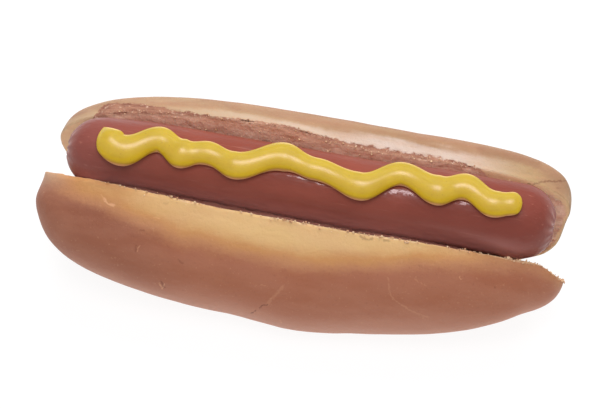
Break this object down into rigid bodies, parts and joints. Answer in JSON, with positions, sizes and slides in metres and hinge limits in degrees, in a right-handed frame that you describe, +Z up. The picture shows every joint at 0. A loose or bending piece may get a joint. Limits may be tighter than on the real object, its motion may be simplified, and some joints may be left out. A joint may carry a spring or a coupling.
{
  "type": "hot dog",
  "caption": "Hot dog: a side-sliced soft bun opened upwards on its hinge, holding a frankfurter with a wavy bead of mustard along its top.",
  "frame": {"origin": "bottom centre of the bounding box, on the surface the bun rests on", "axes": "+X along the bun towards the frankfurter's right end, +Z up, -Y towards the fat domed half of the bun"},
  "size_m": [0.1602, 0.0614, 0.05],
  "materials": {
    "bun": "soft golden-brown baked crust with pale pulled sides and cream crumb on the cut faces",
    "sausage": "smooth moist red-brown frankfurter skin, semi-gloss",
    "mustard": "smooth glossy yellow mustard"
  },
  "bodies": {
    "root": {"bun": "bun", "sausage": "sausage", "mustard": "mustard"}
  },
  "joints": []
}
